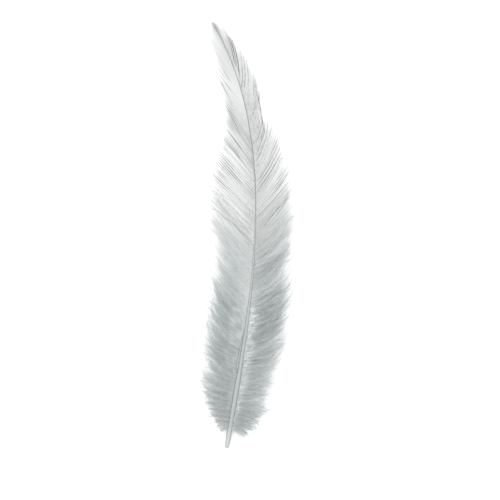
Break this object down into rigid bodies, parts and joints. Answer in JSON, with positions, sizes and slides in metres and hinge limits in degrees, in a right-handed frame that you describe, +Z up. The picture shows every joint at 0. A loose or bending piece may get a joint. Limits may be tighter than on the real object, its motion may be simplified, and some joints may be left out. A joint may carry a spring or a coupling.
{
  "type": "rooster saddle hackle feather",
  "caption": "Slender curved feather that lies flat: a bare quill, fluffy grey down along the lower half, and narrow pale vanes that run to a point.",
  "frame": {"origin": "on the surface that the feather lies on, in the middle of its footprint", "axes": "+Y along the feather from the quill to the point, +Z up from the surface, +X to the right seen from above"},
  "size_m": [0.0324, 0.1501, 0.0074],
  "materials": {
    "vane": "silky, finely ribbed barbs",
    "down": "soft matt fluff",
    "shaft": "horn-like, faintly glossy"
  },
  "bodies": {
    "root": {"feather": "vane"}
  },
  "joints": []
}
